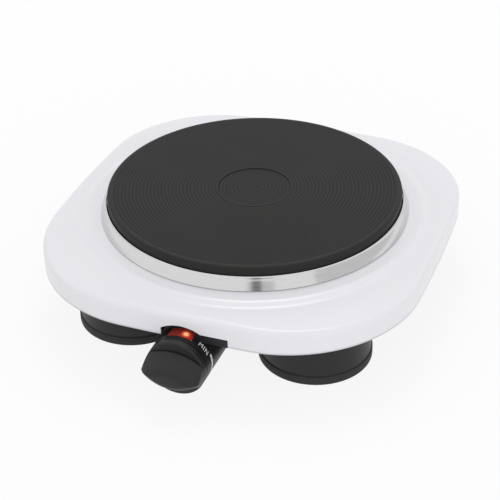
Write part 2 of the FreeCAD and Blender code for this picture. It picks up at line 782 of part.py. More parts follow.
def make_pan():
    body = new_body("pan")
    flange = sketch_on(body, "pan_flange", "XY_Plane", flange_bottom)
    tangent_outline(flange, "(shell_sheet + pan_fit)")
    add_feature(body, "Pad", flange, Length="pan_sheet")
    well = sketch_on(body, "pan_well", "XY_Plane", "pan_floor")
    rounded_box(well, well_half_width, well_front, well_rear, "well_corner_radius")
    add_feature(body, "Pad", well, Length=f"{flange_top} - pan_floor")
    hollow = sketch_on(body, "pan_hollow", "XY_Plane", pan_inside)
    walls = (well_half_width, well_front, well_rear, "well_corner_radius")
    rounded_box(hollow, *[f"({wall} - pan_sheet)" for wall in walls])
    add_feature(body, "Pocket", hollow, Length=flange_top, Reversed=True)
    notch = sketch_on(body, "pan_notch", "XY_Plane", flange_bottom)
    left, right = "(collar_reach + saddle_fit)", "(saddle_reach + saddle_fit)"
    add_box(notch, f"-{left}", "-front_depth", right, f"-{well_front}")
    add_feature(body, "Pocket", notch, Length="pan_sheet", Reversed=True)
    holes = sketch_on(body, "pan_holes", "XY_Plane")
    setback = f"tongue_screw_setback - {well_front}"
    tongue = [(f"{side} * tongue_screw_spacing / 2", setback) for side in (-1, 1)]
    for x, y in four("foot") + four("stud") + tongue:
        add_circle(holes, x, y, "screw_radius + screw_hole_clearance")
    add_feature(body, "Pocket", holes, Length="plate_top", Reversed=True)
    wires = sketch_on(body, "pan_wire_hole", "XZ_Plane")
    add_circle(wires, "0", wire_hole_height, "wire_hole_radius")
    add_feature(body, "Pocket", wires, Length=f"{well_front} + pan_sheet", Reversed=True)
    inlet = sketch_on(body, "pan_inlet", "XZ_Plane")
    add_circle(inlet, "0", "gland_height", "gland_neck_radius + gland_fit")
    add_feature(body, "Pocket", inlet, Length=f"{well_rear} + pan_sheet")
    vent = sketch_on(body, "pan_vent", "XY_Plane")
    half_run = "(vent_pitch * (vent_count - 1) / 2)"
    straight = "((vent_length - vent_width) / 2)"
    ends = [
        (straight, f"-{half_run} - vent_width / 2"), (straight, f"vent_width / 2 - {half_run}"),
        (f"-{straight}", f"vent_width / 2 - {half_run}"), (f"-{straight}", f"-{half_run} - vent_width / 2"),
    ]
    half_round = {0: ("vent_width / 2", "half"), 2: ("vent_width / 2", "half")}
    add_loop(vent, ends, half_round)
    slot = add_feature(body, "Pocket", vent, Length=f"{pan_inside} + pan_sheet", Reversed=True)
    pattern = body.newObject("PartDesign::LinearPattern", "pan_vents")
    pattern.Originals = [slot]
    pattern.Direction = (vent, ["V_Axis"])
    pattern.setExpression("Length", bound("vent_pitch * (vent_count - 1)"))
    pattern.setExpression("Occurrences", bound("vent_count"))
    body.Tip = pattern
    finish(body, "base_pan")
    return tongue


def make_feet():
    corners = ("front_left", "front_right", "rear_left", "rear_right")
    for corner, (x, y) in zip(corners, four("foot")):
        foot = new_body("foot_" + corner)
        section = sketch_on(foot, f"foot_{corner}_section", "XZ_Plane")
        bore = "(screw_radius + thread_clearance)"
        spigot = "(pad_radius - pad_wall - pad_fit)"
        ceiling = "(pan_floor - foot_wall)"
        outline = [
            (bore, "pan_floor"),
            (foot_top_radius, "pan_floor"),
            (foot_base_radius, "pad_height"),
            (spigot, "pad_height"),
            (spigot, "pad_floor"),
            (f"{spigot} - foot_wall", "pad_floor"),
            (f"{foot_top_radius} - foot_wall", ceiling),
            ("foot_boss_radius", ceiling),
            ("foot_boss_radius", "pan_floor - foot_boss_depth"),
            (bore, "pan_floor - foot_boss_depth"),
        ]
        add_loop(section, outline)
        revolve(foot, section)
        finish(foot, "foot_" + corner, x, y)

        pad = new_body("pad_" + corner)
        section = sketch_on(pad, f"pad_{corner}_section", "XZ_Plane")
        outline = [
            ("0", "0"),
            ("pad_radius - pad_edge", "0"),
            ("pad_radius", "pad_edge"),
            ("pad_radius", "pad_height"),
            ("pad_radius - pad_wall", "pad_height"),
            ("pad_radius - pad_wall", "pad_floor"),
            ("0", "pad_floor"),
        ]
        add_loop(section, outline)
        revolve(pad, section)
        finish(pad, "foot_pad_" + corner, x, y)


def make_housing():
    body = new_body("housing")
    top = f"({saddle_top} - knob_axis_height)"
    collar = sketch_on(body, "housing_collar", "XY_Plane", saddle_rear)
    arch_outline(collar, "0", f"{top} - saddle_height", "saddle_fit")
    add_feature(body, "Pad", collar, Length="saddle_setback - collar_setback")
    saddle = sketch_on(body, "housing_saddle", "XY_Plane", saddle_rear)
    add_box(saddle, "0", f"{top} - saddle_height", "saddle_reach", top)
    add_feature(body, "Pad", saddle, Length="saddle_setback - saddle_trim")
    barrel = sketch_on(body, "housing_barrel", "XZ_Plane")
    outside = [
        ("0", housing_rear),
        ("housing_rear_radius", housing_rear),
        ("housing_front_radius", housing_front),
        ("0", housing_front),
    ]
    add_loop(barrel, outside)
    revolve(body, barrel)
    hollow = sketch_on(body, "housing_hollow", "XZ_Plane")
    inside = [
        ("0", housing_rear),
        ("housing_rear_radius - housing_wall", housing_rear),
        ("housing_front_radius - housing_wall", face_inside),
        ("neck_radius + neck_clearance", face_inside),
        ("neck_radius + neck_clearance", housing_front),
        ("0", housing_front),
    ]
    add_loop(hollow, inside)
    revolve(body, hollow, "Groove")
    window = sketch_on(body, "housing_window", "YZ_Plane")
    lens_front = f"{lens_rear} + lens_length"
    add_box(window, "thermostat_half_width", lens_rear, "2 * housing_rear_radius", lens_front)
    revolve(body, window, "Groove", Angle="lens_angle", Midplane=True)
    finish_on_knob_axis(body, "knob_housing")

    back = new_body("housing_back")
    disc = sketch_on(back, "back_disc", "XY_Plane", well_front)
    add_circle(disc, "0", "0", "housing_rear_radius")
    add_circle(disc, "0", "wire_hole_rise", "wire_hole_radius")
    add_feature(back, "Pad", disc, Length="housing_back_wall")
    tongue = sketch_on(back, "back_tongue", "XY_Plane", f"{well_front} - tongue_length")
    tongue_top = "(pan_floor - knob_axis_height)"
    tongue_bottom = f"{tongue_top} - tongue_thickness"
    add_box(tongue, "-tongue_half_width", tongue_bottom, "tongue_half_width", tongue_top)
    add_feature(back, "Pad", tongue, Length="tongue_length")
    holes = sketch_on(back, "back_holes", "XZ_Plane")
    for side in (-1, 1):
        place_x = f"{side} * tongue_screw_spacing / 2"
        station = f"{well_front} - tongue_screw_setback"
        add_circle(holes, place_x, station, "screw_radius + screw_hole_clearance")
    add_feature(back, "Pocket", holes, Length="housing_rear_radius", Reversed=True)
    finish_on_knob_axis(back, "housing_back")


def make_lamp():
    lens = new_body("lens")
    section = sketch_on(lens, "lens_section", "YZ_Plane")
    slope = "(housing_rear_radius - housing_front_radius)"
    run = f"({housing_front} - {housing_rear})"

    def wall(station):
        return f"(housing_rear_radius - {slope} * ({station} - {housing_rear}) / {run})"

    rear, front = f"({lens_rear} + lens_fit)", f"({lens_rear} + lens_length - lens_fit)"
    corners = [
        (f"{wall(rear)} - lens_wall", rear), (wall(rear), rear), (wall(front), front),
        (f"{wall(front)} - lens_wall", front),
    ]
    add_loop(section, corners)
    fit_angle = "(lens_angle - 360 / pi * lens_fit / housing_front_radius)"
    revolve(lens, section, Angle=fit_angle, Midplane=True)
    finish_on_knob_axis(lens, "lamp_lens")

    shelf = doc.addObject("Part::Box", "shelf")
    shelf.setExpression("Length", bound("2 * lamp_shelf_half_width"))
    shelf.setExpression("Width", bound(f"{face_inside} - {lens_rear}"))
    shelf.setExpression("Height", bound("lamp_shelf_thickness"))
    finish(shelf, "lamp_holder", "-lamp_shelf_half_width", f"-{face_inside}", lamp_shelf_height)

    bulb = new_body("bulb")
    profile = sketch_on(bulb, "bulb_profile", "YZ_Plane", "-lamp_length / 2")
    middle = f"({lens_rear} + lens_length / 2)"
    height = "(lamp_shelf_rise + lamp_shelf_thickness + lamp_radius)"
    add_circle(profile, height, middle, "lamp_radius")
    add_feature(bulb, "Pad", profile, Length="lamp_length")
    round_edges(bulb, "lamp_radius * 2 / 3", lambda edge: edge.Curve.TypeId == "Part::GeomCircle")
    finish_on_knob_axis(bulb, "neon_lamp")


def make_thermostat():
    body = new_body("thermostat")
    block = sketch_on(body, "thermostat_block", "XY_Plane", f"{face_inside} - thermostat_length")
    half = "thermostat_half_width"
    add_box(block, f"-{half}", "-thermostat_below", half, "thermostat_above")
    add_feature(body, "Pad", block, Length="thermostat_length")
    forward = Vector(0, 0, 1)

    def runs_forward(edge):
        return abs(edge.tangentAt(edge.FirstParameter).dot(forward)) > 0.9

    round_edges(body, "thermostat_edge", runs_forward)
    neck = sketch_on(body, "thermostat_neck", "XY_Plane", face_inside)
    add_circle(neck, "0", "0", "neck_radius")
    add_feature(body, "Pad", neck, Length="neck_length")
    bore = sketch_on(body, "thermostat_bore", "XY_Plane", f"{face_inside} + neck_length")
    add_circle(bore, "0", "0", "shaft_radius + shaft_clearance")
    add_feature(body, "Pocket", bore, Length="neck_length + shaft_depth")
    finish_on_knob_axis(body, "thermostat_body")

    nut = hex_nut("neck_nut", "neck_nut_flats", "neck_nut_height", "neck_radius + thread_clearance")
    finish(nut, "thermostat_nut", y=f"-{housing_front}", z="knob_axis_height", turn=facing_front)

    tabs = []
    for k, side in enumerate((-1, 1)):
        tab = doc.addObject("Part::Box", f"tab_{k}")
        tab.setExpression("Length", bound("tab_thickness"))
        tab.setExpression("Width", bound("tab_length"))
        tab.setExpression("Height", bound("tab_width"))
        behind = f"-({face_inside} - thermostat_length)"
        across = f"{side} * tab_spacing / 2 - tab_thickness / 2"
        place(tab, across, behind, "knob_axis_height - tab_width / 2")
        tabs.append(tab)
    group = doc.addObject("Part::Compound", "tabs")
    group.Links = tabs
    keep(group, "thermostat_tabs")

    shaft = new_body("shaft")
    rod = sketch_on(shaft, "shaft_rod", "XY_Plane", f"{face_inside} - shaft_depth + bore_end_gap")
    add_circle(rod, "0", "0", "shaft_radius")
    add_feature(shaft, "Pad", rod, Length=f"{shaft_front} - ({face_inside} - shaft_depth + bore_end_gap)")
    flat = sketch_on(shaft, "shaft_flat_cut", "XY_Plane", shaft_front)
    add_box(flat, "-shaft_radius", "shaft_flat", "shaft_radius", "2 * shaft_radius")
    add_feature(shaft, "Pocket", flat, Length="clip_length + bore_end_gap")
    finish_on_knob_axis(shaft, "thermostat_shaft")


def make_knob():
    body = new_body("knob")
    blank = sketch_on(body, "knob_blank", "XZ_Plane")
    outline = [
        ("0", knob_back),
        ("knob_radius", knob_back),
        ("knob_radius", f"{knob_face} - knob_edge_round"),
        ("knob_radius - knob_edge_round", knob_face),
        ("0", knob_face),
    ]
    add_loop(blank, outline, {2: ("knob_edge_round", "left")})
    revolve(body, blank)
    # two shallow arcs meet at a point on either side; past a low step the grip thins to a soft front
    tip = "sqrt(grip_bow ^ 2 - (grip_bow - grip_root_half) ^ 2)"
    bow = ("grip_bow", "left")
    step = sketch_on(body, "knob_step", "XY_Plane", knob_face)
    grip = sketch_on(body, "knob_grip", "XY_Plane", f"{knob_face} + grip_step")
    for outline in (step, grip):
        add_loop(outline, [(tip, "0"), (f"-{tip}", "0")], {0: bow, 1: bow})
    add_feature(body, "Pad", step, Length="grip_step")
    add_feature(body, "Pad", grip, Length="grip_length - grip_step", TaperAngle="-grip_taper")
    around = sketch_on(body, "knob_around", "XZ_Plane")
    outside = [
        ("knob_radius", knob_face),
        ("2 * knob_radius", knob_face),
        ("2 * knob_radius", f"{knob_front} + knob_gap"),
        ("knob_front_radius", f"{knob_front} + knob_gap"),
    ]
    add_loop(around, outside)
    revolve(body, around, "Groove")
    front = size(knob_front) - 0.01

    def is_front_edge(edge):
        return min(vertex.Point.z for vertex in edge.Vertexes) > front

    round_edges(body, "grip_edge_round", is_front_edge)
    recess = sketch_on(body, "knob_recess", "XY_Plane", knob_back)
    add_circle(recess, "0", "0", "knob_recess_radius")
    add_feature(body, "Pocket", recess, Length="knob_recess_depth", Reversed=True)
    socket = sketch_on(body, "knob_socket", "XY_Plane", knob_back)
    add_circle(socket, "0", "0", "shaft_radius + shaft_clearance")
    add_feature(body, "Pocket", socket, Length=f"{shaft_front} + bore_end_gap - {knob_back}", Reversed=True)
    turned = facing_front.multiply(Rotation(Vector(0, 0, 1), size("grip_turn")))
    finish(body, "control_knob", z="knob_axis_height", turn=turned)

    clip = doc.addObject("Part::Box", "clip")
    clip.setExpression("Length", bound("clip_width"))
    clip.setExpression("Width", bound("clip_length"))
    clip.setExpression("Height", bound("clip_thickness"))
    finish(clip, "knob_clip", "-clip_width / 2", f"-{shaft_front}", "knob_axis_height + shaft_flat")


def make_supply_end():
    block = new_body("block")
    plan = sketch_on(block, "block_plan", "XY_Plane", pan_inside)
    add_box(plan, "-block_half_width", block_front, "block_half_width", f"{block_front} + block_length")
    add_feature(block, "Pad", plan, Length="block_height")
    places = [(f"{k} * terminal_pitch", f"{block_front} + block_length / 2") for k in (-1, 0, 1)]
    wells = sketch_on(block, "block_wells", "XY_Plane", f"{pan_inside} + block_height")
    for x, y in places:
        add_circle(wells, x, y, "terminal_radius + thread_clearance")
    add_feature(block, "Pocket", wells, Length="terminal_depth")
    finish(block, "terminal_block")

    screws = []
    for k, (x, y) in enumerate(places):
        screw = doc.addObject("Part::Cylinder", f"terminal_{k}")
        screw.setExpression("Radius", bound("terminal_radius"))
        screw.setExpression("Height", bound("terminal_depth"))
        place(screw, x, y, f"{pan_inside} + block_height - terminal_depth")
        screws.append(screw)
    group = doc.addObject("Part::Compound", "terminals")
    group.Links = screws
    keep(group, "terminal_screws")

    gland = new_body("gland")
    section = sketch_on(gland, "gland_section", "XZ_Plane")
    flange_end = f"({well_rear} + gland_flange)"
    wall_inside = f"({well_rear} - pan_sheet)"
    corners = [
        ("gland_bore_radius", f"{wall_inside} - gland_snap"),
        ("gland_snap_radius", f"{wall_inside} - gland_snap"),
        ("gland_snap_radius", wall_inside),
        ("gland_neck_radius", wall_inside),
        ("gland_neck_radius", well_rear),
        ("gland_flange_radius", well_rear),
        ("gland_flange_radius", flange_end),
        ("gland_collar_radius", flange_end),
        ("gland_collar_radius", f"{flange_end} + gland_collar"),
        ("gland_bore_radius", f"{flange_end} + gland_collar"),
    ]
    add_loop(section, corners)
    revolve(gland, section)
    facing_back = Rotation(Vector(1, 0, 0), -90)
    finish(gland, "cord_gland", z="gland_height", turn=facing_back)


inside_space = make_shell()
make_plate()
make_ring()
make_element()
make_insulation()
make_cover()
make_beads()
make_clamp()
tongue_holes = make_pan()
make_shell_studs(inside_space)
make_screws("base_screws", four("stud"), flange_bottom,
            "pan_sheet + base_screw_grip", turned_over=True)
make_feet()
make_screws("foot_screws", four("foot"), pan_inside, "foot_screw_length")
make_housing()
make_screws("housing_screws", tongue_holes, "(pan_floor - tongue_thickness)",
            "tongue_thickness + 2 * pan_sheet", turned_over=True)
make_lamp()
make_thermostat()
make_knob()
make_supply_end()
doc.recompute()

for thing in doc.Objects:
    if "Invalid" in thing.State or "Error" in thing.State:
        raise RuntimeError(f"{thing.Label} did not recompute: {thing.State}")
for thing in sub_parts:
    if thing.Shape.isNull() or not thing.Shape.isValid():
        raise RuntimeError(f"{thing.Label} has no valid shape")

os.makedirs("parts", exist_ok=True)
for thing in sub_parts:
    thing.Shape.exportStep(f"parts/{thing.Label}.step")
    print(thing.Label, "solids", len(thing.Shape.Solids), "volume", round(thing.Shape.Volume, 1))
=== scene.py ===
import bpy
import math
from mathutils import Matrix, Vector


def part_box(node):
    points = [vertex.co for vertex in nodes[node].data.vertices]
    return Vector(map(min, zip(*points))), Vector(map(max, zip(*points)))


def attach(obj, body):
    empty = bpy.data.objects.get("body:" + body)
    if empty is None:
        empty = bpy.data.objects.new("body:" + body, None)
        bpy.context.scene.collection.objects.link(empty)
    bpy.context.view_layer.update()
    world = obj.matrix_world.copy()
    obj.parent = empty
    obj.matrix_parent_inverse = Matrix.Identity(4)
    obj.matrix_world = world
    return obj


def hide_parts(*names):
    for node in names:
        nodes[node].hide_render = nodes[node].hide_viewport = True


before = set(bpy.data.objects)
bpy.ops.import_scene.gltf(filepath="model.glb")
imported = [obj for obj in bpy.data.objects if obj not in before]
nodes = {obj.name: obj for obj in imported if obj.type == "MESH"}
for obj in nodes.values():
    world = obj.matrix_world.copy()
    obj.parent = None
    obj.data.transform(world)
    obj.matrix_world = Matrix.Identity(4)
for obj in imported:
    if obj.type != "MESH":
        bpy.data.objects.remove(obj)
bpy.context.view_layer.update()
mm = 0.001
weld = 0.002 * mm  # points nearer than this become one
plateAxis = (0, 14.35)  # the plate's upright axis, in mm
print("frame loaded:", len(nodes), "nodes")


def linear(hexColour):
    channels = [int(hexColour[i:i + 2], 16) / 255 for i in (0, 2, 4)]
    return [c / 12.92 if c <= 0.04045 else ((c + 0.055) / 1.055) ** 2.4 for c in channels] + [1]


def addNode(finish, kind, settings={}, values={}, links={}):
    node = finish.node_tree.nodes.new(kind)
    for name, value in settings.items():
        setattr(node, name, value)
    for name, value in values.items():
        node.inputs[name].default_value = value
    for name, source in links.items():
        finish.node_tree.links.new(source, node.inputs[name])
    return node


def startFinish(name, values):
    finish = bpy.data.materials.new(name)
    finish.use_nodes = True
    shader = finish.node_tree.nodes["Principled BSDF"]
    for socket, value in values.items():
        shader.inputs[socket].default_value = value
    place = addNode(finish, "ShaderNodeTexCoord").outputs["Object"]
    return finish, shader, place


def join(finish, source, shader, socket):
    finish.node_tree.links.new(source, shader.inputs[socket])


mixFrom, mixTo, mixed = 6, 7, 2  # a Mix node's colour sockets go by number, because their names repeat


# two close colours in soft patches, patch size in mm
def mottle(finish, place, patch, dark, light, detail=3):
    cloud = addNode(finish, "ShaderNodeTexNoise", values={"Scale": 1 / (patch * mm), "Detail": detail},
                    links={"Vector": place})
    return addNode(finish, "ShaderNodeMix", {"data_type": "RGBA"}, {mixFrom: linear(dark), mixTo: linear(light)},
                   {"Factor": cloud.outputs["Fac"]}).outputs[mixed]


# fine bumps, width and height in mm, and a gloss that follows them;
# a real grain under about half a millimetre would not show, so it is drawn that coarse
def grain(finish, shader, place, width, height, strength, gloss, detail=2):
    cloud = addNode(finish, "ShaderNodeTexNoise", values={"Scale": 1 / (width * mm), "Detail": detail},
                    links={"Vector": place}).outputs["Fac"]
    bump = addNode(finish, "ShaderNodeBump", values={"Strength": strength, "Distance": height * mm},
                   links={"Height": cloud}).outputs["Normal"]
    rough = addNode(finish, "ShaderNodeMapRange", values={"To Min": gloss[0], "To Max": gloss[1]},
                    links={"Value": cloud})
    join(finish, bump, shader, "Normal")
    join(finish, rough.outputs["Result"], shader, "Roughness")
    return bump


# white enamel fired on pressed steel: cool white, glossy, with the faint orange peel of a sprayed coat,
# and painted shade: the colour greys over a band just above the hem
enamel = {"shader": {"IOR": 1.52, "Coat Weight": 0.25, "Coat Roughness": 0.12},
          "mottle": {"patch": 55, "dark": "e9e9ee", "light": "eeeef2"},
          "grain": {"width": 2.2, "height": 0.02, "strength": 0.25, "gloss": (0.26, 0.36)},
          "hemHeight": 40.4, "hemShadeBand": 1.6, "hemShadeGrey": "85868b", "hemShadeShare": 0.5}


def makeEnamel():
    e = enamel
    finish, shader, place = startFinish("stoveEnamel", e["shader"])
    coat = mottle(finish, place, **e["mottle"])
    height = addNode(finish, "ShaderNodeSeparateXYZ", links={"Vector": place}).outputs["Z"]
    # painted shade: mixes grey into the enamel over the last band above the hem
    hemShade = addNode(finish, "ShaderNodeMapRange", values={
        "From Min": (e["hemHeight"] + e["hemShadeBand"]) * mm, "From Max": e["hemHeight"] * mm,
        "To Max": e["hemShadeShare"]}, links={"Value": height}).outputs["Result"]
    tone = addNode(finish, "ShaderNodeMix", {"data_type": "RGBA"}, {mixTo: linear(e["hemShadeGrey"])},
                   {"Factor": hemShade, mixFrom: coat}).outputs[mixed]
    join(finish, tone, shader, "Base Color")
    grain(finish, shader, place, **e["grain"])
    return finish


# cast plate, in mm: rounded rim, turned rings in the face, sunk centre;
# below it the stud's boss and two round walls with the element's channel between them
plate = {"radius": 94, "top": 73, "edge": 1.6, "seat": 59.7, "seatBreak": 0.4,
         "roof": 65.5, "bore": 3.05, "boss": 9, "bossFoot": 56.4,
         "innerWall": (26, 30), "outerWall": (80, 87), "wallFoot": 58.5, "wallBreak": 0.3,
         "groovePitch": 2.3, "grooveDepth": 0.2, "landRadius": 90.5, "landMargin": 2.5,
         "recess": 23, "recessDepth": 0.5, "recessLip": 0.5, "lipLand": 1.2,
         "recessRing": 21.5, "recessGroove": 0.12, "poleMargin": 2, "steps": 180}

# grey iron, face turned in a lathe and blackened: dull and dark, with rings round its own centre;
# the cast skin comes out in clouds, with painted shade darkening the grooves and painted light paling the lands and
# the plain rim
iron = {"shader": {"Specular IOR Level": 0.15},
        "mottle": {"patch": 38, "dark": "121211", "light": "222221", "detail": 6},
        "grain": {"width": 0.9, "height": 0.05, "strength": 0.25, "gloss": (0.42, 0.58), "detail": 4},
        "paintedLandLight": "313130", "paintedLandLightFrom": -0.6, "paintedLandLightShare": 0.55, "ridgeHeight": 0.05, "ridgeStrength": 0.2}


def makeIron():
    finish, shader, place = startFinish("turnedIron", iron["shader"])
    centred = addNode(finish, "ShaderNodeMapping", values={
        "Location": (0, -plateAxis[1] * mm, 0), "Scale": (1, 1, 0)}, links={"Vector": place})
    radius = addNode(finish, "ShaderNodeVectorMath", {"operation": "LENGTH"},
                     links={0: centred.outputs["Vector"]}).outputs["Value"]
    # the rim outside the last ring is plain, and takes the lands' painted light
    ringed = addNode(finish, "ShaderNodeMath", {"operation": "MINIMUM"}, {1: plate["landRadius"] * mm},
                     {0: radius}).outputs[0]
    # one wave for each turned ring, highest on the land between two grooves
    phase = addNode(finish, "ShaderNodeMath", {"operation": "MULTIPLY_ADD"}, {
        1: 2 * math.pi / (plate["groovePitch"] * mm), 2: -2 * math.pi * plate["landRadius"] / plate["groovePitch"]},
        {0: ringed}).outputs[0]
    marks = addNode(finish, "ShaderNodeMath", {"operation": "COSINE"}, links={0: phase}).outputs[0]
    skin = mottle(finish, place, **iron["mottle"])
    # painted shade and light: darker in the grooves, paler on the lands and over the plain rim
    paintedLandLight = addNode(finish, "ShaderNodeMapRange", values={
        "From Min": iron["paintedLandLightFrom"], "To Max": iron["paintedLandLightShare"]}, links={"Value": marks})
    tone = addNode(finish, "ShaderNodeMix", {"data_type": "RGBA"}, {mixTo: linear(iron["paintedLandLight"])},
                   {"Factor": paintedLandLight.outputs["Result"], mixFrom: skin}).outputs[mixed]
    join(finish, tone, shader, "Base Color")
    pits = grain(finish, shader, place, **iron["grain"])
    turned = addNode(finish, "ShaderNodeBump", values={
        "Strength": iron["ridgeStrength"], "Distance": iron["ridgeHeight"] * mm},
        links={"Height": marks, "Normal": pits})
    join(finish, turned.outputs["Normal"], shader, "Normal")
    return finish


# bright rolled stainless strip: mirror-like, with hair lines that run round the ring;
# hairRun is the pattern's mm for each radian, far less than the ring's own, so the hairs come out long,
# and they are drawn wider than real ones, which would not show
strip = {"shader": {"Metallic": 1}, "tones": ("cbcbcb", "dcdcdc"), "gloss": (0.07, 0.18),
         "hairWidth": 0.5, "hairRun": 4, "hairDetail": 3, "hairHeight": 0.02, "hairStrength": 0.06}


def makeStainless():
    finish, shader, place = startFinish("brightStainless", strip["shader"])
    centred = addNode(finish, "ShaderNodeMapping", values={"Location": (0, -plateAxis[1] * mm, 0)},
                      links={"Vector": place}).outputs["Vector"]
    parts = addNode(finish, "ShaderNodeSeparateXYZ", links={"Vector": centred})
    turn = addNode(finish, "ShaderNodeMath", {"operation": "ARCTAN2"},
                   links={0: parts.outputs["Y"], 1: parts.outputs["X"]}).outputs[0]
    along = addNode(finish, "ShaderNodeMath", {"operation": "MULTIPLY"}, {1: strip["hairRun"] * mm},
                    {0: turn}).outputs[0]
    unrolled = addNode(finish, "ShaderNodeCombineXYZ", links={"X": along, "Y": parts.outputs["Z"]}).outputs["Vector"]
    hair = addNode(finish, "ShaderNodeTexNoise", values={
        "Scale": 1 / (strip["hairWidth"] * mm), "Detail": strip["hairDetail"]},
        links={"Vector": unrolled}).outputs["Fac"]
    dark, light = [linear(tone) for tone in strip["tones"]]
    tone = addNode(finish, "ShaderNodeMix", {"data_type": "RGBA"}, {mixFrom: dark, mixTo: light},
                   {"Factor": hair}).outputs[mixed]
    rough = addNode(finish, "ShaderNodeMapRange", values={"To Min": strip["gloss"][0], "To Max": strip["gloss"][1]},
                    links={"Value": hair})
    bump = addNode(finish, "ShaderNodeBump", values={
        "Strength": strip["hairStrength"], "Distance": strip["hairHeight"] * mm}, links={"Height": hair})
    join(finish, tone, shader, "Base Color")
    join(finish, rough.outputs["Result"], shader, "Roughness")
    join(finish, bump.outputs["Normal"], shader, "Normal")
    return finish


# finishes that need no more than a mottled colour under a fine grain
plainFinishes = {
    # black phenolic moulding: satin skin with a very fine spark-eroded grain
    "mouldedPhenolic": {
        "shader": {"IOR": 1.58, "Specular IOR Level": 0.3},
        "mottle": {"patch": 6, "dark": "18181a", "light": "212123", "detail": 4},
        "grain": {"width": 0.55, "height": 0.04, "strength": 0.3, "gloss": (0.36, 0.50), "detail": 3}},
    # moulded rubber: soft dark grey, dusty bloom, no clear highlight
    "mouldedRubber": {
        "shader": {"IOR": 1.5, "Specular IOR Level": 0.35},
        "mottle": {"patch": 3, "dark": "29292a", "light": "373738", "detail": 5},
        "grain": {"width": 0.7, "height": 0.05, "strength": 0.35, "gloss": (0.6, 0.78), "detail": 3}},
    # satin black heat-resistant paint on sheet steel: close black, sprayed texture
    "heatPaint": {
        "shader": {"IOR": 1.5},
        "mottle": {"patch": 25, "dark": "1f1f20", "light": "29292a"},
        "grain": {"width": 1.2, "height": 0.04, "strength": 0.35, "gloss": (0.45, 0.6), "detail": 3}},
    # zinc plated steel: grey-blue metal with a patchy passivated skin
    "zincPlate": {
        "shader": {"Metallic": 1},
        "mottle": {"patch": 5, "dark": "a9adb0", "light": "c3c4c2", "detail": 4},
        "grain": {"width": 0.8, "height": 0.02, "strength": 0.2, "gloss": (0.3, 0.45)}},
    # steel tube that has been red hot: brown and blue clouds of oxide
    "scaledSheath": {
        "shader": {"Metallic": 1},
        "mottle": {"patch": 12, "dark": "5a4a3c", "light": "6c6a72", "detail": 5},
        "grain": {"width": 0.6, "height": 0.03, "strength": 0.3, "gloss": (0.4, 0.6), "detail": 4}},
    # pressed ceramic fibre board: chalky, with matted threads
    "ceramicFibre": {
        "shader": {"Specular IOR Level": 0.1},
        "mottle": {"patch": 4, "dark": "d6d2c6", "light": "e8e5dc", "detail": 6},
        "grain": {"width": 0.8, "height": 0.2, "strength": 0.6, "gloss": (0.9, 1.0), "detail": 6}},
    # unglazed steatite: cream ceramic, dense and matt
    "steatite": {
        "shader": {"IOR": 1.6},
        "mottle": {"patch": 3, "dark": "ded8c8", "light": "ebe6d9", "detail": 4},
        "grain": {"width": 0.5, "height": 0.03, "strength": 0.3, "gloss": (0.55, 0.7), "detail": 3}},
    # turned brass: warm yellow metal, slightly dulled
    "turnedBrass": {
        "shader": {"Metallic": 1},
        "mottle": {"patch": 2.5, "dark": "b08d46", "light": "cfae63", "detail": 4},
        "grain": {"width": 0.5, "height": 0.02, "strength": 0.2, "gloss": (0.25, 0.4)}},
}


def makePlain(name):
    look = plainFinishes[name]
    finish, shader, place = startFinish(name, look["shader"])
    join(finish, mottle(finish, place, **look["mottle"]), shader, "Base Color")
    grain(finish, shader, place, **look["grain"])
    return finish


# clear red polycarbonate with the lamp behind it: deep red, with a painted glow that is hot orange where the lamp
# sits closest
lens = {"shader": {"IOR": 1.58, "Transmission Weight": 0.15, "Emission Strength": 1},
        "mottle": {"patch": 4, "dark": "9c3833", "light": "b84a43", "detail": 2},
        "grain": {"width": 1.1, "height": 0.04, "strength": 0.2, "gloss": (0.12, 0.24)},
        "lampAt": (3.1, -110.3, 43.8), "glowRadius": 4.8,  # mm
        "glow": ((0.0, "160302"), (0.3, "450a06"), (0.58, "b8401a"), (0.85, "ffc890"))}  # from the edge in


def makeLens():
    finish, shader, place = startFinish("redPolycarbonate", lens["shader"])
    join(finish, mottle(finish, place, **lens["mottle"]), shader, "Base Color")
    grain(finish, shader, place, **lens["grain"])
    # painted light: the lens emits a glow of its own, graded round the lamp's place
    near = addNode(finish, "ShaderNodeMapping", {"vector_type": "POINT"}, {
        "Location": [-c / lens["glowRadius"] for c in lens["lampAt"]],
        "Scale": [1 / (lens["glowRadius"] * mm)] * 3}, {"Vector": place})
    ball = addNode(finish, "ShaderNodeTexGradient", {"gradient_type": "SPHERICAL"},
                   links={"Vector": near.outputs["Vector"]})
    ramp = addNode(finish, "ShaderNodeValToRGB", links={"Fac": ball.outputs["Fac"]})
    first, *between, last = lens["glow"]
    stops = ramp.color_ramp.elements
    stops[0].position, stops[0].color = first[0], linear(first[1])
    stops[1].position, stops[1].color = last[0], linear(last[1])
    for position, colour in between:
        stops.new(position).color = linear(colour)
    join(finish, ramp.outputs["Color"], shader, "Emission Color")
    return finish


# small neon tube: thin glass round an orange discharge
neon = {"shader": {"IOR": 1.5, "Roughness": 0.08, "Transmission Weight": 0.6, "Emission Strength": 2},
        "glass": {"patch": 3, "dark": "e8752e", "light": "ffb070", "detail": 2},
        "discharge": {"patch": 3, "dark": "ff6a1e", "light": "ffa050", "detail": 2}}


def makeNeon():
    finish, shader, place = startFinish("neonGlass", neon["shader"])
    join(finish, mottle(finish, place, **neon["glass"]), shader, "Base Color")
    join(finish, mottle(finish, place, **neon["discharge"]), shader, "Emission Color")
    return finish


# pad-printed ink: flat white with the worn specks that a hand leaves
ink = {"shader": {"Roughness": 0.6}, "mottle": {"patch": 0.8, "dark": "dadad7", "light": "f4f4f2", "detail": 4}}


def makeInk():
    finish, shader, place = startFinish("dialInk", ink["shader"])
    join(finish, mottle(finish, place, **ink["mottle"]), shader, "Base Color")
    return finish


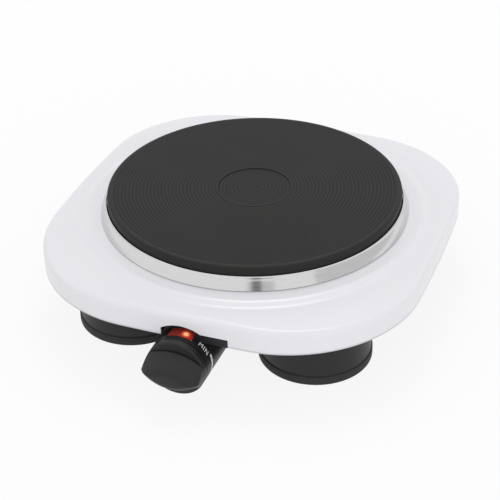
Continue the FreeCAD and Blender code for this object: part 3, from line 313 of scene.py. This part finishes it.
dialInk = makeInk()
finishes = {
    "white_enamel": makeEnamel(), "cast_iron": makeIron(), "stainless": makeStainless(),
    "element_sheath": makePlain("scaledSheath"), "fibre": makePlain("ceramicFibre"),
    "zinc_steel": makePlain("zincPlate"), "steatite": makePlain("steatite"), "black_pan": makePlain("heatPaint"),
    "black_plastic": makePlain("mouldedPhenolic"), "grey_rubber": makePlain("mouldedRubber"),
    "red_lens": makeLens(), "neon_glass": makeNeon(), "brass": makePlain("turnedBrass"),
}
feet = ("front_left", "front_right", "rear_left", "rear_right")
wearing = {
    "white_enamel": ["top_shell"],
    "cast_iron": ["hot_plate"],
    "stainless": ["trim_ring"],
    "element_sheath": ["heating_element"],
    "fibre": ["insulation_pad"],
    "zinc_steel": ["plate_cover", "plate_stud", "cover_nut", "clamp_bridge", "spring_washer", "clamp_nut",
                   "shell_studs", "base_screws", "foot_screws", "housing_screws", "thermostat_shaft", "knob_clip"],
    "steatite": ["element_beads", "terminal_block", "thermostat_body"],
    "black_pan": ["base_pan"],
    "black_plastic": ["knob_housing", "housing_back", "lamp_holder", "control_knob", "cord_gland"]
                     + ["foot_" + foot for foot in feet],
    "grey_rubber": ["foot_pad_" + foot for foot in feet],
    "red_lens": ["lamp_lens"],
    "neon_glass": ["neon_lamp"],
    "brass": ["thermostat_tabs", "thermostat_nut", "terminal_screws"],
}
for slot, names in wearing.items():
    for name in names:
        nodes[name].data.materials.clear()
        nodes[name].data.materials.append(finishes[slot])
print("finishes on CAD nodes:", sum(len(names) for names in wearing.values()))


def deselect():
    bpy.ops.object.select_all(action="DESELECT")


def dress(piece, name, slot, body, finish=None):
    piece.name = piece.data.name = name
    piece.data.materials.clear()
    piece.data.materials.append(finish or finishes[slot])
    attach(piece, body)
    return piece


# drags one point along a half section (radius, height in mm) and spins it round an upright axis
def turnPiece(centre, section, steps, smooth=35, closed=False):
    deselect()
    bpy.ops.mesh.primitive_plane_add(size=mm)
    piece = bpy.context.object
    bpy.ops.object.mode_set(mode="EDIT")
    bpy.ops.mesh.select_all(action="SELECT")
    bpy.ops.mesh.merge(type="CENTER")
    bpy.ops.transform.translate(value=((centre[0] + section[0][0]) * mm, centre[1] * mm, section[0][1] * mm))
    path = section + section[:1] if closed else section
    for here, there in zip(path, path[1:]):
        bpy.ops.mesh.extrude_vertices_move(TRANSFORM_OT_translate={
            "value": ((there[0] - here[0]) * mm, 0, (there[1] - here[1]) * mm)})
    bpy.ops.mesh.select_all(action="SELECT")
    bpy.ops.mesh.spin(steps=steps, angle=2 * math.pi, center=(centre[0] * mm, centre[1] * mm, 0), axis=(0, 0, 1))
    bpy.ops.mesh.select_all(action="SELECT")
    bpy.ops.mesh.remove_doubles(threshold=weld)
    bpy.ops.mesh.normals_make_consistent(inside=False)
    bpy.ops.object.mode_set(mode="OBJECT")
    bpy.ops.object.shade_smooth_by_angle(angle=math.radians(smooth))
    return piece


# the arc of a rounded edge in a half section, from one angle to another in degrees
def edgeArc(r, z, radius, start, end, count=5):
    angles = [math.radians(start + (end - start) * i / (count - 1)) for i in range(count)]
    return [(r + radius * math.cos(a), z + radius * math.sin(a)) for a in angles]


# lands and grooves of a turned face, from one radius in to another
def turnedRings(start, end, height, depth):
    rings, radius = [], start
    while radius > end:
        rings += [(radius, height), (radius - plate["groovePitch"] / 2, height - depth)]
        radius -= plate["groovePitch"]
    return rings


# the section runs from the axis over the underside to the rim, and back over the face
def makePlate():
    p = plate
    top, roof, foot, seat = p["top"], p["roof"], p["wallFoot"], p["seat"]
    section = [(0, roof), (p["bore"], roof), (p["bore"], p["bossFoot"]),
               (p["boss"], p["bossFoot"]), (p["boss"], roof)]
    inside, outside = p["innerWall"]
    section += [(inside, roof), (inside, foot), (outside, foot), (outside, roof)]
    inside, outside = p["outerWall"]
    section += [(inside, roof), (inside, foot), (outside - p["wallBreak"], foot), (outside, foot + p["wallBreak"]),
                (outside, seat), (p["radius"] - p["seatBreak"], seat), (p["radius"], seat + p["seatBreak"])]
    section += edgeArc(p["radius"] - p["edge"], top - p["edge"], p["edge"], 0, 90, 7)
    section += turnedRings(p["landRadius"], p["recess"] + p["landMargin"], top, p["grooveDepth"])
    lip, floor = p["recessLip"], top - p["recessDepth"]
    section += [(p["recess"] + p["lipLand"], top)] + edgeArc(p["recess"] + lip, top - lip, lip, 90, 180, 4)
    section += [(p["recess"] - lip, floor)]
    section += turnedRings(p["recessRing"], p["poleMargin"], floor, p["recessGroove"]) + [(0, floor)]
    piece = dress(turnPiece(plateAxis, section, p["steps"]), "turnedPlate", "cast_iron", "base")
    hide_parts("hot_plate")


# pressed trim ring, in mm: flange under the plate, a slightly crowned band, a rolled lip
ring = {"inner": 87.75, "base": 98.6, "baseHeight": 59.1, "sheet": 0.6, "flangeEnd": 0.9,
        "baseRound": 0.8, "baseSweep": (-80, -10), "bandRise": 0.5, "bandDrop": 0.7, "bandSteps": 8, "crown": 0.22,
        "top": 95.3, "topHeight": 67.7, "lip": 94.5, "lipRound": 0.4, "lipSweep": (10, 170),
        "insideCorner": ((0.8, 1.1), (1.4, 0.6)), "smooth": 40, "steps": 192}


def makeRing():
    r = ring
    base, foot = r["base"], r["baseHeight"]
    low, high = foot + r["bandRise"], r["topHeight"] - r["bandDrop"]
    section = [(r["inner"], foot), (base - r["flangeEnd"], foot)]
    section += edgeArc(base - r["baseRound"], foot + r["baseRound"], r["baseRound"], *r["baseSweep"])
    for i in range(1, r["bandSteps"] + 1):
        t = i / r["bandSteps"]
        section.append((base + (r["top"] - base) * t + r["crown"] * 4 * t * (1 - t), low + (high - low) * t))
    section += edgeArc(r["top"] - r["lipRound"], r["topHeight"] - r["lipRound"], r["lipRound"], *r["lipSweep"], 7)
    section += [(r["lip"], high)] + [(base - inward, foot + rise) for inward, rise in r["insideCorner"]]
    section += [(r["inner"], foot + r["sheet"])]
    piece = dress(turnPiece(plateAxis, section, r["steps"], r["smooth"], True), "rolledRing", "stainless", "base")
    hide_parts("trim_ring")


makePlate()
makeRing()
print("plate and ring turned")

# rubber pads, in mm: rounded rim, a recess that takes the foot, three grip ribs underneath
pad = {"radius": 35.4, "height": 6.2, "floor": 2, "wall": 4.2, "edge": 1.1, "topRound": 0.7, "ribs": (16, 23, 30),
       "ribDepth": 0.7, "ribRoot": 2.2, "ribFoot": 1.7, "rimRoot": 1.6, "rimFoot": 1.2, "steps": 96}


# one pad is turned on the origin's axis, and each foot gets a copy
def makePads():
    p = pad
    root, foot, depth = p["ribRoot"], p["ribFoot"], p["ribDepth"]
    section = [(0, depth)]
    for rib in p["ribs"]:
        section += [(rib - root, depth), (rib - foot, 0), (rib + foot, 0), (rib + root, depth)]
    rim, bore = p["radius"] - p["edge"], p["radius"] - p["wall"]
    section += [(rim - p["rimRoot"], depth), (rim - p["rimFoot"], 0)] + edgeArc(rim, p["edge"], p["edge"], -90, 0)
    section += edgeArc(p["radius"] - p["topRound"], p["height"] - p["topRound"], p["topRound"], 0, 90, 4)
    section += [(bore, p["height"]), (bore, p["floor"]), (0, p["floor"])]
    model = turnPiece((0, 0), section, p["steps"])
    for name in feet:
        low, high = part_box("foot_pad_" + name)
        piece = bpy.data.objects.new("rubberPad_" + name, model.data.copy())
        piece.data.transform(Matrix.Translation(((low.x + high.x) / 2, (low.y + high.y) / 2, 0)))
        bpy.context.scene.collection.objects.link(piece)
        dress(piece, "rubberPad_" + name, "grey_rubber", "base")
        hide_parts("foot_pad_" + name)
    bpy.data.objects.remove(model)


makePads()
print("pads turned")

# dial print on the barrel, in mm and degrees: letters read clockwise, the scale band widens towards hot
dial = {"barrelRadius": 18.35, "axisHeight": 25.6, "baseline": 127.0, "thickness": 0.10,
        "words": {"MIN": 38, "MAX": 256}, "capHeight": 3.2, "capShare": 0.69, "spacing": 1.12, "bold": 0.07,
        "notch": 0.012, "stripWidth": 0.5, "strips": 24,
        "bandFrom": 71, "bandTo": 250, "bandWidths": (1.8, 3.4), "bandInset": 3.6, "bandSteps": 90}


# lays a flat mesh on the barrel: x runs clockwise from an angle, y runs back from the baseline
def wrapOnBarrel(piece, angle):
    for vertex in piece.data.vertices:
        reach = dial["barrelRadius"] * mm + vertex.co.z
        turn = math.radians(angle) + vertex.co.x / (dial["barrelRadius"] * mm)
        back = (plateAxis[1] - dial["baseline"]) * mm + vertex.co.y
        vertex.co = (reach * math.sin(turn), back, dial["axisHeight"] * mm + reach * math.cos(turn))


def makeWord(word, angle):
    d = dial
    deselect()
    bpy.ops.object.text_add()
    text = bpy.context.object
    text.data.body = word
    text.data.size = d["capHeight"] / d["capShare"] * mm
    text.data.bevel_depth, text.data.bevel_resolution = d["bold"] * mm, 0  # strokes swell to a thin edge
    text.data.space_character = d["spacing"]
    bpy.ops.object.convert(target="MESH")
    piece = bpy.context.object
    bpy.ops.object.mode_set(mode="EDIT")
    bpy.ops.mesh.select_all(action="SELECT")
    bpy.ops.mesh.remove_doubles(threshold=d["notch"] * mm)  # also closes the font's tiny notches
    bpy.ops.mesh.normals_make_consistent(inside=False)
    bpy.ops.transform.resize(value=(1, 1, d["thickness"] / 2 / d["bold"]), center_override=(0, 0, 0))
    for cut in range(1, d["strips"]):  # narrow strips bend round the barrel without facets
        bpy.ops.mesh.select_all(action="SELECT")
        bpy.ops.mesh.bisect(plane_co=(cut * d["stripWidth"] * mm, 0, 0), plane_no=(1, 0, 0))
    bpy.ops.object.mode_set(mode="OBJECT")
    wrapOnBarrel(piece, angle)
    dress(piece, "dialWord_" + word, "black_plastic", "base", dialInk)


def makeScaleBand():
    d = dial
    length = math.radians(d["bandTo"] - d["bandFrom"]) * d["barrelRadius"] * mm
    narrow, wide = d["bandWidths"]
    deselect()
    bpy.ops.mesh.primitive_grid_add(x_subdivisions=d["bandSteps"], y_subdivisions=2, size=1)
    piece = bpy.context.object
    bpy.ops.object.mode_set(mode="EDIT")
    bpy.ops.mesh.select_all(action="SELECT")
    bpy.ops.transform.translate(value=(0.5, 0, 0))  # one end on the word's side
    bpy.ops.transform.resize(value=(length, mm, 1), center_override=(0, 0, 0))
    bpy.ops.mesh.extrude_region_move(TRANSFORM_OT_translate={"value": (0, 0, d["thickness"] / 2 * mm)})
    bpy.ops.mesh.select_all(action="SELECT")
    bpy.ops.mesh.normals_make_consistent(inside=False)
    bpy.ops.object.mode_set(mode="OBJECT")
    for vertex in piece.data.vertices:
        vertex.co.y *= narrow + (wide - narrow) * vertex.co.x / length
        vertex.co.y += d["bandInset"] * mm
    wrapOnBarrel(piece, d["bandFrom"])
    dress(piece, "dialScaleBand", "black_plastic", "base", dialInk)


for word, angle in dial["words"].items():
    makeWord(word, angle)
makeScaleBand()
print("dial printed")

# long lens from the front right, looking down; mm and degrees from the middle of the plate's face
view = {"azimuth": 21.09, "elevation": 33.12, "distance": 913.3, "aside": -3.76, "above": -40.70, "roll": 1.29,
        "focalPixels": 1431.8, "framePixels": 500, "sensorWidth": 36}


def makeCamera():
    v = view
    az, el = math.radians(v["azimuth"]), math.radians(v["elevation"])
    back = Vector((math.sin(az) * math.cos(el), -math.cos(az) * math.cos(el), math.sin(el)))
    right = Vector((math.cos(az), math.sin(az), 0))
    up = back.cross(right)
    place = Vector((plateAxis[0], plateAxis[1], plate["top"])) + back * v["distance"]
    place += right * v["aside"] + up * v["above"]
    eye = bpy.data.cameras.new("photoEye")
    eye.sensor_width = v["sensorWidth"]
    eye.lens = v["sensorWidth"] * v["focalPixels"] / v["framePixels"]
    holder = bpy.data.objects.new("photoEye", eye)
    turn = Matrix.Rotation(az, 4, "Z") @ Matrix.Rotation(math.pi / 2 - el, 4, "X")
    holder.matrix_world = Matrix.Translation(place * mm) @ turn @ Matrix.Rotation(math.radians(-v["roll"]), 4, "Z")
    bpy.context.scene.collection.objects.link(holder)
    bpy.context.scene.camera = holder


# soft studio, in metres: a lamp overhead that draws the step in the enamel, and a wide fill from the right
# that leaves no hard patch on the ring
lamps = {"overheadLamp": {"at": (-0.15, 0.5, 1.35), "size": 0.5, "power": 3.2, "mirrored": True},
         "fillLamp": {"at": (0.9, -1.3, 0.3), "size": 1.2, "power": 5.0, "mirrored": False}}
lampAim = Vector((0, 0, 0.05))


def makeLamps():
    for name, given in lamps.items():
        lamp = bpy.data.lights.new(name, "AREA")
        lamp.energy, lamp.size = given["power"], given["size"]
        holder = bpy.data.objects.new(name, lamp)
        holder.location = given["at"]
        holder.rotation_euler = (lampAim - Vector(given["at"])).to_track_quat("-Z", "Y").to_euler()
        holder.visible_glossy = given["mirrored"]
        bpy.context.scene.collection.objects.link(holder)


# one for every ray that shows a background: camera, mirror or glass
def seenDirectly(finish):
    path = addNode(finish, "ShaderNodeLightPath")
    first = addNode(finish, "ShaderNodeMath", {"operation": "MAXIMUM"}, links={
        0: path.outputs["Is Camera Ray"], 1: path.outputs["Is Glossy Ray"]})
    return addNode(finish, "ShaderNodeMath", {"operation": "MAXIMUM"}, links={
        0: first.outputs[0], 1: path.outputs["Is Transmission Ray"]}).outputs[0]


air = {"colour": "ffffff", "light": 0.77, "seen": 1.0}  # how strongly it lights the object, and how it looks


def makeAir():
    world = bpy.data.worlds.new("studioAir")
    bpy.context.scene.world = world
    world.use_nodes = True
    back = world.node_tree.nodes["Background"]
    back.inputs["Color"].default_value = linear(air["colour"])
    level = addNode(world, "ShaderNodeMapRange", values={"To Min": air["light"], "To Max": air["seen"]},
                    links={"Value": seenDirectly(world)})
    join(world, level.outputs["Result"], back, "Strength")


# pale paper that keeps the object's shadow and fades to plain white away from it
paper = {"size": 6, "shader": {"Roughness": 0.9, "Specular IOR Level": 0.0},
         "mottle": {"patch": 300, "dark": "f4f4f5", "light": "f8f8f8"}, "white": 0.88, "shadowReach": (0.2, 0.9)}


def makeFloor():
    deselect()
    bpy.ops.mesh.primitive_plane_add(size=paper["size"])
    floor = bpy.context.object
    floor.name = "studioFloor"
    finish, shader, place = startFinish("floorPaper", paper["shader"])
    join(finish, mottle(finish, place, **paper["mottle"]), shader, "Base Color")
    glow = addNode(finish, "ShaderNodeEmission", values={"Color": (1, 1, 1, 1), "Strength": 1})
    away = addNode(finish, "ShaderNodeVectorMath", {"operation": "LENGTH"}, links={0: place}).outputs["Value"]
    near, far = paper["shadowReach"]
    white = addNode(finish, "ShaderNodeMapRange", values={
        "From Min": near, "From Max": far, "To Min": paper["white"]}, links={"Value": away}).outputs["Result"]
    share = addNode(finish, "ShaderNodeMath", {"operation": "MULTIPLY"}, links={0: seenDirectly(finish), 1: white})
    blend = addNode(finish, "ShaderNodeMixShader", links={
        0: share.outputs[0], 1: shader.outputs[0], 2: glow.outputs[0]})
    join(finish, blend.outputs[0], finish.node_tree.nodes["Material Output"], "Surface")
    floor.data.materials.append(finish)


# cards that only gloss mirrors, in metres; turn is in degrees from the camera
cards = {"lensCard": {"turn": 0, "distance": 1.1, "width": 0.12, "level": 0.2},
         "paleCard": {"turn": 3, "distance": 1.2, "width": 0.36, "level": 0.72},
         "sideCard": {"turn": 80, "distance": 1.0, "width": 1.7, "level": 0.74}}
cardHeight = 0.45


def makeCards():
    for name, given in cards.items():
        deselect()
        bpy.ops.mesh.primitive_plane_add(size=1)
        card = bpy.context.object
        card.name = name
        bpy.ops.object.mode_set(mode="EDIT")
        bpy.ops.mesh.select_all(action="SELECT")
        bpy.ops.transform.resize(value=(given["width"], cardHeight, 1))
        bpy.ops.object.mode_set(mode="OBJECT")
        az = math.radians(view["azimuth"] + given["turn"])
        card.rotation_euler = (math.pi / 2, 0, az)
        card.location = (math.sin(az) * given["distance"], -math.cos(az) * given["distance"], cardHeight / 2)
        board = bpy.data.materials.new(name)
        board.use_nodes = True
        tone = addNode(board, "ShaderNodeEmission", values={"Strength": given["level"]})
        join(board, tone.outputs[0], board.node_tree.nodes["Material Output"], "Surface")
        card.data.materials.append(board)
        card.visible_camera = card.visible_diffuse = card.visible_shadow = card.visible_transmission = False


makeCamera()
makeLamps()
makeAir()
makeFloor()
makeCards()
bpy.context.scene.view_settings.view_transform = "Standard"
print("studio and camera set")
